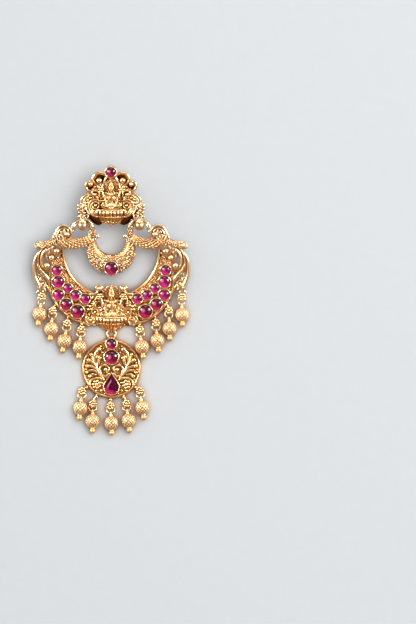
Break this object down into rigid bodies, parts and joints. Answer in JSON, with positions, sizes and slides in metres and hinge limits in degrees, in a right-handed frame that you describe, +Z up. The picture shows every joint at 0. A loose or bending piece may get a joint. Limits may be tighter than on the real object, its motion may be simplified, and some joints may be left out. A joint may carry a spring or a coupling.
{
  "type": "temple earring",
  "caption": "Ornate drop earring in antique gold with ruby-red cabochons: plaque, peacocks, nested crescents, linked disc and engraved bead drops.",
  "frame": {"origin": "centre of the bounding box in X and Y, on the surface that the earring lies on", "axes": "+Z up out of the surface, +Y from the lowest bead drop to the top of the plaque, +X to the right as seen from the front"},
  "size_m": [0.0502, 0.0861, 0.0118],
  "materials": {
    "cast_gold": "matte antique gold plate, brown in its recesses",
    "wire_gold": "satin antique gold plate",
    "bead_gold": "engraved antique gold plate",
    "ruby": "polished foil-backed ruby-red glass"
  },
  "bodies": {
    "root": {"stud_plaque": "cast_gold", "ear_post": "wire_gold", "plaque_stone": "ruby", "peacock_left": "cast_gold", "peacock_right": "cast_gold", "inner_crescent": "cast_gold", "inner_crescent_stone": "ruby", "outer_crescent": "cast_gold", "crescent_stone_left_1": "ruby", "crescent_stone_left_2": "ruby", "crescent_stone_left_3": "ruby", "crescent_stone_left_4": "ruby", "crescent_stone_left_5": "ruby", "crescent_stone_right_1": "ruby", "crescent_stone_right_2": "ruby", "crescent_stone_right_3": "ruby", "crescent_stone_right_4": "ruby", "crescent_stone_right_5": "ruby", "inner_row_stone_left_1": "ruby", "inner_row_stone_left_2": "ruby", "inner_row_stone_left_3": "ruby", "inner_row_stone_right_1": "ruby", "inner_row_stone_right_2": "ruby", "inner_row_stone_right_3": "ruby", "disc_link": "wire_gold", "pendant_disc": "cast_gold", "disc_top_stone": "ruby", "disc_middle_stone": "ruby", "disc_pear_stone": "ruby", "jump_ring_01": "wire_gold", "jump_ring_02": "wire_gold", "jump_ring_03": "wire_gold", "jump_ring_04": "wire_gold", "jump_ring_05": "wire_gold", "jump_ring_06": "wire_gold", "jump_ring_07": "wire_gold", "jump_ring_08": "wire_gold", "jump_ring_09": "wire_gold", "jump_ring_10": "wire_gold", "jump_ring_11": "wire_gold", "jump_ring_12": "wire_gold", "jump_ring_13": "wire_gold", "bead_drop_01": "bead_gold", "bead_drop_02": "bead_gold", "bead_drop_03": "bead_gold", "bead_drop_04": "bead_gold", "bead_drop_05": "bead_gold", "bead_drop_06": "bead_gold", "bead_drop_07": "bead_gold", "bead_drop_08": "bead_gold", "bead_drop_09": "bead_gold", "bead_drop_10": "bead_gold", "bead_drop_11": "bead_gold", "bead_drop_12": "bead_gold", "bead_drop_13": "bead_gold"}
  },
  "joints": []
}
